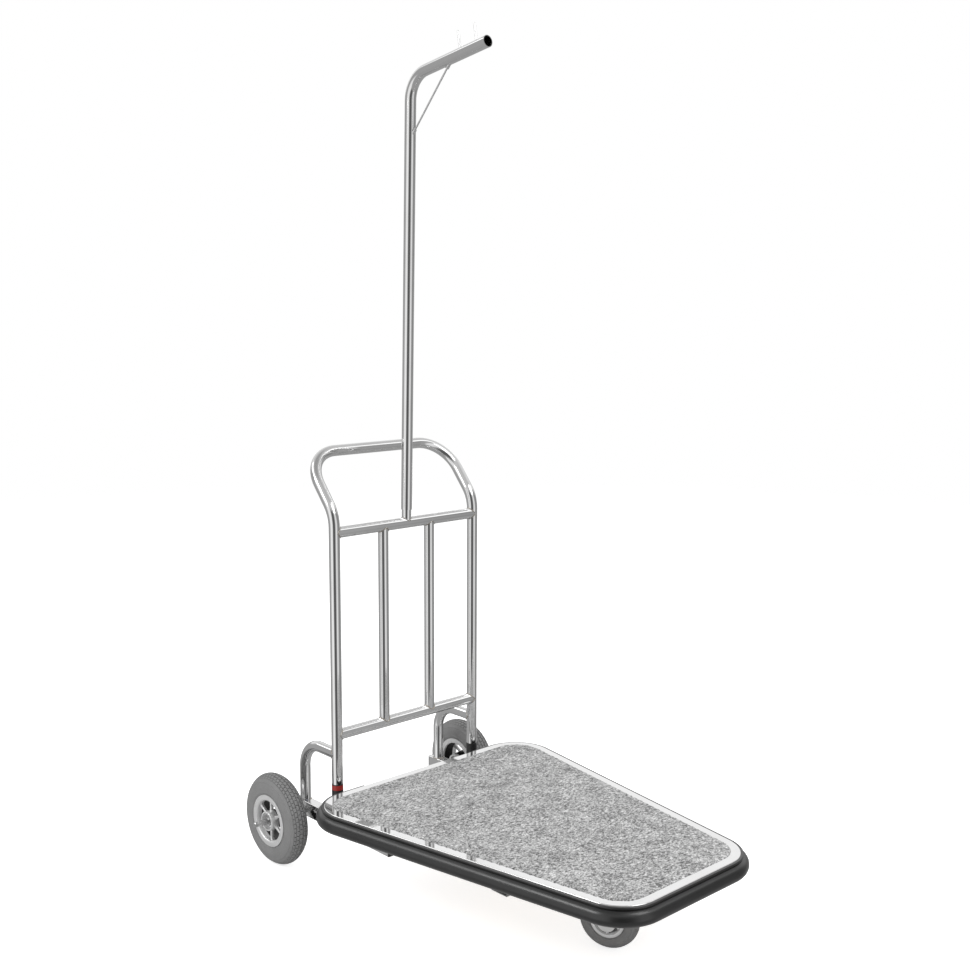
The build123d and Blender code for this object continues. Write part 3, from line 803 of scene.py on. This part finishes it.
@dataclass
class Rim:
    """A cast rim: a flanged barrel, flared spokes near the outer face and a recessed hub."""

    place: WheelPlace
    node: str
    half_width: float
    lip_radius: float
    lip_thick: float
    seat_radius: float
    barrel_radius: float
    face_radius: float
    hub_radius: float
    hub_half: float
    recess_radius: float
    recess_depth: float
    bore_radius: float
    web_outer: float
    web_thick: float
    spoke_width: float
    spine: float = 0.0016
    spokes: int = 6
    spoke_cuts: int = 7
    spoke_flare: float = 1.1
    spoke_roots: Pair = (0.002, 0.0015)
    face_edge: Triple = (0.0018, 0.0012, 0.0036)
    hub_edge: float = 0.0012
    hub_taper: float = 0.82
    edge_round: float = 0.0005
    edge_angle: float = 40.0
    steps: int = 96

    def barrel(self, bm: BMesh) -> None:
        """The flanged ring, with a broad flat face on its outer side."""
        half, lip, seat = self.half_width, self.lip_radius, self.seat_radius
        inner = half - self.lip_thick
        edge_depth, edge_low, edge_high = self.face_edge
        spin_profile(
            bm,
            [
                (half, lip), (inner, lip), (inner, seat),
                (-inner, seat), (-inner, lip), (-half, lip),
                (-half, self.barrel_radius), (self.web_outer - self.web_thick, self.barrel_radius),
                (self.web_outer, self.face_radius),
                (half - edge_depth, self.face_radius + edge_low),
                (half, self.face_radius + edge_high),
            ],
            self.steps,
        )

    def hub(self, bm: BMesh) -> None:
        """The hub, with its recess on the outer side."""
        half, floor = self.hub_half, self.hub_half - self.recess_depth
        outline = [
            (half, self.hub_radius - self.hub_edge), (half - self.hub_edge, self.hub_radius),
            (self.web_outer - self.web_thick, self.hub_radius),
            (-half, self.hub_radius * self.hub_taper),
            (-half, self.bore_radius), (floor, self.bore_radius),
        ]
        if self.recess_depth > 0:
            outline += [(floor, self.recess_radius), (half, self.recess_radius)]
        spin_profile(bm, outline, self.steps)

    def spoke(self) -> bpy.types.Mesh:
        """One upright spoke, wide at both ends, with a raised spine.

        Returns:
            Its mesh.
        """
        inward, outward = self.spoke_roots
        start, end = self.hub_radius - inward, self.face_radius + outward
        bm = bmesh.new()
        bmesh.ops.create_cube(bm, size=1.0)
        for axis, cuts in (("z", self.spoke_cuts), ("y", 1)):
            along = [
                e for e in bm.edges if abs(getattr(e.verts[0].co - e.verts[1].co, axis)) > 0.5
            ]
            bmesh.ops.subdivide_edges(bm, edges=along, cuts=cuts, use_grid_fill=True)
        for v in bm.verts:
            share = v.co.z + 0.5
            flare = 1.0 + self.spoke_flare * (2 * share - 1) ** 4
            ridge = self.spine if abs(v.co.y) < 0.01 and v.co.x > 0 else 0.0
            v.co = Vector((
                self.web_outer - self.web_thick / 2 + v.co.x * self.web_thick + ridge,
                v.co.y * self.spoke_width * flare,
                start + (end - start) * share,
            ))
        return new_mesh(bm, "spoke")

    def build(self, name: str, body: str) -> bpy.types.Object:
        """Make the rim.

        Args:
            name: the piece's name.
            body: the body that it rides on.

        Returns:
            The piece.
        """
        bm = bmesh.new()
        self.barrel(bm)
        self.hub(bm)
        spoke = self.spoke()
        for _ in range(self.spokes):
            bm.from_mesh(spoke)
            spoke.transform(Matrix.Rotation(FULL_TURN / self.spokes, 4, "X"))
        bpy.data.meshes.remove(spoke)
        face_outward(bm)
        soften(bm, sharp_edges(bm, self.edge_angle), self.edge_round)
        self.place.put(bm)
        # The depths that bound the painted shade in the rim's hollow, from behind the spokes to
        # short of the back lip.
        front = self.place.depth + self.web_outer - self.web_thick
        back = self.place.depth - self.half_width + 2 * self.lip_thick
        finish = CastAluminium(f"{name}_finish", self.place.facing, front, back)
        return Piece(name, body, Slot.cast_rim, (self.node,), finish).finish_mesh(bm)


@dataclass
class Wheels:
    """The two rear wheels and the caster wheel: a tyre and a rim for each."""

    caster_yaw: float = math.radians(24.0)

    def rear(self, side: str, yaw: float) -> None:
        """Build one rear wheel.

        Args:
            side: left or right.
            yaw: the turn that brings its outer face from +X, in radians.
        """
        place = WheelPlace(f"{side}_tyre", yaw)
        Tyre(
            place, width=0.050, seat_radius=0.052, lip_radius=0.0595, bead_inset=0.0035,
            shoulder_inset=0.006, crown_drop=0.009,
            rows=((0.0014, 0.0068), (0.0088, 0.0130), (0.0148, 0.0180)),
        ).build(f"{side}_moulded_tyre", f"{side}_wheel")
        Rim(
            place, f"{side}_rim", half_width=0.024, lip_radius=0.0595, lip_thick=0.0025,
            seat_radius=0.052, barrel_radius=0.048, face_radius=0.0455, hub_radius=0.0225,
            hub_half=0.028, recess_radius=0.0185, recess_depth=0.012, bore_radius=0.014,
            web_outer=0.016, web_thick=0.006, spoke_width=0.0055,
        ).build(f"{side}_cast_rim", f"{side}_wheel")

    def caster(self) -> None:
        """Build the caster's wheel."""
        place = WheelPlace("caster_tyre", self.caster_yaw + math.pi)
        Tyre(
            place, width=0.038, seat_radius=0.030, lip_radius=0.0355, bead_inset=0.003,
            shoulder_inset=0.005, crown_drop=0.006,
            rows=((0.0011, 0.0052), (0.0068, 0.0100), (0.0114, 0.0132)), blocks=44,
            groove_depth=0.0014, sipe_depth=0.0014,
        ).build("caster_moulded_tyre", "caster_wheel")
        Rim(
            place, "caster_rim", half_width=0.018, lip_radius=0.0355, lip_thick=0.002,
            seat_radius=0.030, barrel_radius=0.0275, face_radius=0.0262, hub_radius=0.015,
            hub_half=0.021, recess_radius=0.008, recess_depth=0.0, bore_radius=0.008,
            web_outer=0.015, web_thick=0.006, spoke_width=0.0045, steps=72,
        ).build("caster_cast_rim", "caster_wheel")

    def build(self) -> None:
        """Build all three wheels."""
        self.rear("left", math.pi)
        self.rear("right", 0.0)
        self.caster()


# --- Deck carpet ---


@dataclass
class Carpet:
    """The deck's carpet: a flat cut with round corners and a low, uneven pile."""

    rear_width: float = 0.665
    front_width: float = 0.380
    corner_radius: float = 0.085
    edge_inset: float = 0.0205
    pitch: float = 0.0032
    pile: float = 0.0006
    edge_drop: float = 0.0016
    corner_steps: int = 9
    merge: float = 2e-4
    tuft_scale: float = 190.0
    tuft_share: float = 0.34
    swell_scale: float = 22.0
    swell_share: float = 0.16

    def outline(self) -> list[tuple[Vector, Vector]]:
        """The cut's border as planes: a point on each and the way that it faces.

        Returns:
            The four sides, and the tangents of the four round corners.
        """
        low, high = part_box("deck_trim")
        length = high.y - low.y
        taper = math.atan2((self.rear_width - self.front_width) / 2, length)
        rear, front = high.y - self.edge_inset, low.y + self.edge_inset
        side_cut = self.edge_inset / math.cos(taper)
        round_by = self.corner_radius - self.edge_inset
        planes = []

        def half(y: float) -> float:
            """Half of the cut's width at y."""
            return self.rear_width / 2 - (high.y - y) * math.tan(taper) - side_cut

        for side in (-1, 1):
            facing = Vector((side * math.cos(taper), -math.sin(taper), 0))
            planes.append((Vector((side * half(rear), rear, 0)), facing))
            for y, along in ((rear, 1), (front, -1)):
                flat = Vector((0, along, 0))
                planes.append((Vector((0, y, 0)), flat))
                centre_y = y - along * round_by
                centre_x = half(centre_y) - round_by / math.cos(taper)
                centre = Vector((side * centre_x, centre_y, 0))
                for share in arc(0.0, 1.0, self.corner_steps):
                    way = facing.slerp(flat, share)
                    planes.append((centre + way * round_by, way))
        return planes

    def build(self) -> bpy.types.Object:
        """Make the carpet.

        Returns:
            The piece.
        """
        low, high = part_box("deck_carpet")
        middle, size = (low + high) / 2, high - low
        planes = self.outline()
        bm = bmesh.new()
        across, along = round(size.x / self.pitch), round(size.y / self.pitch)
        bmesh.ops.create_grid(bm, x_segments=across, y_segments=along, size=0.5)
        bmesh.ops.scale(bm, vec=(size.x, size.y, 1), verts=bm.verts)
        bmesh.ops.translate(bm, vec=(middle.x, middle.y, 0), verts=bm.verts)
        for point, facing in planes:
            everything = bm.verts[:] + bm.edges[:] + bm.faces[:]
            bmesh.ops.bisect_plane(
                bm, geom=everything, plane_co=point, plane_no=facing, clear_outer=True, dist=1e-6,
            )
        bmesh.ops.remove_doubles(bm, verts=bm.verts, dist=self.merge)
        flat_area = sum(face.calc_area() for face in bm.faces)
        for v in bm.verts:
            tuft = noise.noise(Vector((v.co.x, v.co.y, 0)) * self.tuft_scale)
            swell = noise.noise(Vector((v.co.x, v.co.y, 3)) * self.swell_scale)
            relief = self.tuft_share * tuft + self.swell_share * swell
            v.co.z = high.z - self.pile * (0.5 - relief)
        border = [e for e in bm.edges if e.is_boundary]
        for v in {v for e in border for v in e.verts}:
            v.co.z -= self.edge_drop
        skirt = bmesh.ops.extrude_edge_only(bm, edges=border)["geom"]
        for v in (g for g in skirt if isinstance(g, bmesh.types.BMVert)):
            v.co.z = low.z
        rim = [g for g in skirt if isinstance(g, bmesh.types.BMEdge) and g.is_boundary]
        bmesh.ops.holes_fill(bm, edges=rim, sides=0)
        face_outward(bm)
        made = Piece(
            "deck_carpet_pile", "chassis", Slot.carpet, ("deck_carpet",), sharp_angle=60.0,
        ).finish_mesh(bm)
        LOG.info("carpet: %.4f square metres of %.3f x %.3f", flat_area, size.x, size.y)
        return made


# --- Weld beads ---


@dataclass
class Joint:
    """A tube that meets another: where their axes cross, both axes and both radii."""

    at: Vector
    branch: Vector
    branch_radius: float
    main: Vector = field(default_factory=lambda: RIGHT.copy())
    main_radius: float = 0.0
    bead: float = 0.0011
    sink: float = 0.3

    def path(self, steps: int) -> list[Vector]:
        """The line where the tubes meet, or a plain ring where the branch meets a flat face.

        Args:
            steps: the number of points.

        Returns:
            The points of the closed line.
        """
        branch = self.branch.normalized()
        main = (self.main - branch * self.main.dot(branch)).normalized()
        third = branch.cross(main)
        lift = self.sink * self.bead
        radius, around = self.branch_radius + lift, self.main_radius + lift
        points = []
        for k in range(steps):
            angle = FULL_TURN * k / steps
            aside, ahead = radius * math.sin(angle), radius * math.cos(angle)
            reach = math.sqrt(max(0.0, around**2 - aside**2)) if self.main_radius else lift
            points.append(self.at + main * ahead + third * aside + branch * reach)
        return points


@dataclass
class WeldBeads:
    """The rippled beads where the frame's tubes are welded together."""

    tube_radius: float = 0.0125
    bar_radius: float = 0.012
    stub_radius: float = 0.011
    stub_bead: float = 0.0009
    ripple: float = 0.16
    upper_z: float = 0.775
    lower_z: float = 0.316
    loop_z: float = 0.271
    points: int = 112
    ripples: int = 28

    def joints(self) -> list[Joint]:
        """Every welded joint of the handle frame and the wheel loops."""
        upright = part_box("handle_frame")
        x = upright[1].x - self.tube_radius
        y = sum(v.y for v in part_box("lower_crossbar")) / 2
        rail_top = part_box("left_rail")[1].z
        axle_y = sum(v.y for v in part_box("left_axle")) / 2
        bar_x = sum(v.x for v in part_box("right_bar")) / 2
        tube = self.tube_radius
        found = []
        for side in (-1, 1):
            inward = RIGHT * -side
            for z in (self.upper_z, self.lower_z):
                found.append(Joint(Vector((side * x, y, z)), inward, tube, UP, tube))
            found.append(Joint(Vector((side * x, y, self.loop_z)), BACK, tube, UP, tube))
            for z, way in ((self.upper_z, -UP), (self.lower_z, UP)):
                at = Vector((side * bar_x, y, z))
                found.append(Joint(at, way, self.bar_radius, RIGHT, tube))
            for foot_y in (y, axle_y):
                found.append(Joint(Vector((side * x, foot_y, rail_top)), UP, tube))
        stub_at = Vector((0, y, self.upper_z))
        found.append(Joint(stub_at, UP, self.stub_radius, RIGHT, tube, self.stub_bead))
        return found

    def bead(self, bm: BMesh, joint: Joint) -> None:
        """Add one bead to a bmesh.

        Args:
            bm: the bmesh that takes it.
            joint: the joint that it runs round.
        """
        curve = bpy.data.curves.new("bead_line", "CURVE")
        curve.dimensions = "3D"
        curve.bevel_depth = joint.bead
        curve.bevel_resolution = 2
        line = curve.splines.new("POLY")
        path = joint.path(self.points)
        line.points.add(len(path) - 1)
        for k, (point, place) in enumerate(zip(line.points, path)):
            point.co = (*place, 1.0)
            point.radius = 1.0 + self.ripple * math.sin(FULL_TURN * k * self.ripples / len(path))
        line.use_cyclic_u = True
        holder = bpy.data.objects.new("bead_line", curve)
        mesh = bpy.data.meshes.new_from_object(holder)
        bm.from_mesh(mesh)
        bpy.data.objects.remove(holder)
        bpy.data.curves.remove(curve)
        bpy.data.meshes.remove(mesh)

    def build(self) -> bpy.types.Object:
        """Make all beads as one piece on the chassis.

        Returns:
            The piece.
        """
        bm = bmesh.new()
        for joint in self.joints():
            self.bead(bm, joint)
        bmesh.ops.remove_doubles(bm, verts=bm.verts, dist=1e-6)
        face_outward(bm)
        return Piece(
            "frame_weld_beads", "chassis", Slot.polished_tube, finish=WELD, sharp_angle=80.0,
        ).finish_mesh(bm)


# --- Studio: camera, floor and light ---


@dataclass(frozen=True)
class Panel:
    """An upright panel of the room: its bearing from +X, half width and soft edge in degrees,
    and the light that it adds."""

    bearing: float
    half: float
    soft: float
    light: float

    def glow(self, x: Signal, y: Signal, reach: Signal) -> Signal:
        """The light that the panel adds in a direction.

        Args:
            x: the direction's X.
            y: the direction's Y.
            reach: the length of X and Y together.

        Returns:
            Its light on the panel, and 0 off it.
        """
        angle = math.radians(self.bearing)
        facing = (x * math.cos(angle) + y * math.sin(angle)) / reach
        outer = math.cos(math.radians(self.half + self.soft))
        inner = math.cos(math.radians(self.half - self.soft))
        return facing.step(outer, inner) * self.light


@dataclass
class Studio:
    """A pale seamless floor, a grey room with windows and dark panels, and the camera.

    The room's bands are pairs of heights on the unit sphere, where a band starts and is full.
    """

    camera_at: Triple = (-1.85456, -1.93806, 1.27716)
    azimuth: float = math.radians(-42.97)
    pitch: float = math.radians(8.12)
    roll: float = math.radians(0.22)
    lens: float = 47.75
    sensor: float = 36.0
    view_end: float = 60.0
    floor_radius: float = 12.0
    floor_steps: int = 96
    floor_fade: Pair = (2.6, 6.5)
    aim_height: float = 0.5
    backdrop: float = 1.0
    ambient: float = 0.92
    floor_glow: float = 0.72
    wall_light: float = 0.4
    wall_foot: Pair = (0.14, 0.3)
    wall_top: Pair = (0.45, 0.66)
    ground_light: float = 0.38
    ground_top: Pair = (-0.38, -0.58)
    ceiling_light: float = 0.4
    ceiling_ring: float = 0.25
    ceiling_edge: Pair = (0.96, 0.84)
    shelf_foot: Pair = (0.5, 0.58)
    shelf_top: Pair = (0.76, 0.68)
    panels: tuple[Panel, ...] = (
        Panel(178.0, 21.0, 13.0, 0.6),
        Panel(-82.0, 13.0, 9.0, 0.5),
        Panel(-130.0, 20.0, 7.0, -0.29),
        Panel(-30.0, 16.0, 8.0, -0.13),
    )
    back_wall: Panel = Panel(47.0, 62.0, 14.0, 0.55)
    strips: tuple[Panel, Panel] = (Panel(137.0, 30.0, 6.0, 2.4), Panel(-32.0, 11.0, 5.0, 0.8))

    def camera(self) -> None:
        """Put the camera at its place, with its roll about the line of sight."""
        data = bpy.data.cameras.new("camera")
        data.lens = self.lens
        data.sensor_width = self.sensor
        data.clip_end = self.view_end
        camera = new_object("camera", data)
        az, pitch, roll = self.azimuth, self.pitch, self.roll
        right = Vector((math.cos(az), math.sin(az), 0))
        level = math.cos(pitch)
        ahead = Vector((-math.sin(az) * level, math.cos(az) * level, -math.sin(pitch)))
        above = right.cross(ahead)
        tilted_right = right * math.cos(roll) + above * math.sin(roll)
        tilted_above = above * math.cos(roll) - right * math.sin(roll)
        turn = Matrix((tilted_right, tilted_above, -ahead)).transposed().to_4x4()
        camera.matrix_world = Matrix.Translation(self.camera_at) @ turn
        bpy.context.scene.camera = camera

    def floor(self) -> None:
        """Lay a wide pale floor that fades into the backdrop and is clear from below."""
        bm = bmesh.new()
        bmesh.ops.create_circle(
            bm, cap_ends=True, radius=self.floor_radius, segments=self.floor_steps,
        )
        bm.normal_update()
        bmesh.ops.reverse_faces(bm, faces=[f for f in bm.faces if f.normal.z < 0])
        floor = new_object("floor", new_mesh(bm, "floor"))
        floor.visible_glossy = False
        material = bpy.data.materials.new("floor_paper")
        material.use_nodes = True
        graph = Graph(material.node_tree)
        point = graph.place()
        fibres = graph.noise(point, 3.0, 4.0)
        seen = graph.add("LightPath", out="Is Camera Ray")
        shader = graph.nodes["Principled BSDF"]
        graph.fill(shader, {
            "Base Color": graph.blend(fibres, grey(0.86), grey(0.88)),
            "Roughness": 0.9,
            "Specular IOR Level": 0.1,
            "Emission Color": graph.blend(seen, grey(0.0), grey(self.floor_glow)),
            "Emission Strength": 1.0,
        })
        distance = graph.add("VectorMath", {"operation": "LENGTH"}, {0: point}, "Value")
        clear = graph.add("BsdfTransparent")
        paper = Signal(graph, shader.outputs[0])
        below = graph.add("NewGeometry", out="Backfacing")
        open_share = distance.step(*self.floor_fade).math("MAXIMUM", below)
        mixed = graph.add("MixShader", {}, {0: open_share, 1: paper, 2: clear})
        graph.feed(graph.nodes["Material Output"].inputs["Surface"], mixed)
        floor.data.materials.append(material)

    def room(self) -> None:
        """Surround the cart with the room. Only reflections show its walls: other light comes
        evenly from all sides, and the camera sees a plain backdrop."""
        world = bpy.data.worlds.new("room")
        bpy.context.scene.world = world
        world.use_nodes = True
        graph = Graph(world.node_tree)
        way = graph.add("TexCoord", out="Generated")
        x, y, z = (graph.along(way, axis) for axis in "XYZ")
        reach = (x * x + y * y + 1e-6).math("SQRT")
        wall = self.back_wall.glow(x, y, reach) * z.step(*self.wall_foot) + self.wall_light
        for panel in self.panels:
            wall = wall + panel.glow(x, y, reach)
        high, low = z.step(*self.wall_top), z.step(*self.ground_top)
        ceiling = z.step(*self.ceiling_edge) * self.ceiling_ring + self.ceiling_light
        level = wall * (1 - high) + high * ceiling
        level = level * (1 - low) + low * self.ground_light
        shelf = z.step(*self.shelf_foot) * z.step(*self.shelf_top)
        side_strip, front_strip = (strip.glow(x, y, reach) for strip in self.strips)
        level = level + shelf * (side_strip + front_strip)
        reflected = graph.add("LightPath", out="Is Glossy Ray")
        seen = graph.add("LightPath", out="Is Camera Ray")
        strength = reflected * level + (1 - reflected) * self.ambient
        strength = strength * (1 - seen) + seen * self.backdrop
        graph.fill(graph.nodes["Background"], {"Color": grey(1.0), "Strength": strength})

    def lamp(self, name: str, at: Triple, size: float, power: float) -> None:
        """Hang a square soft light that points at the middle of the cart.

        Args:
            name: the light's name.
            at: its place.
            size: its side.
            power: its power, in watts.
        """
        data = bpy.data.lights.new(name, "AREA")
        data.size = size
        data.energy = power
        lamp = new_object(name, data)
        lamp.location = at
        lamp.rotation_mode = "QUATERNION"
        lamp.rotation_quaternion = (UP * self.aim_height - Vector(at)).to_track_quat("-Z", "Y")

    def build(self) -> None:
        """Set up everything that isn't part of the cart."""
        self.camera()
        self.floor()
        self.room()
        self.lamp("key_light", (0.6, -2.2, 3.2), 1.6, 26.0)
        self.lamp("fill_light", (-2.6, 0.6, 2.6), 1.1, 15.0)
        bpy.context.scene.view_settings.view_transform = "Standard"


def main() -> None:
    """Build the cart's looks and the studio."""
    logging.basicConfig(level=logging.INFO, format="%(name)s: %(message)s")
    dress_cad_nodes()
    Wheels().build()
    Carpet().build()
    WeldBeads().build()
    Studio().build()


if __name__ == "__main__":
    main()
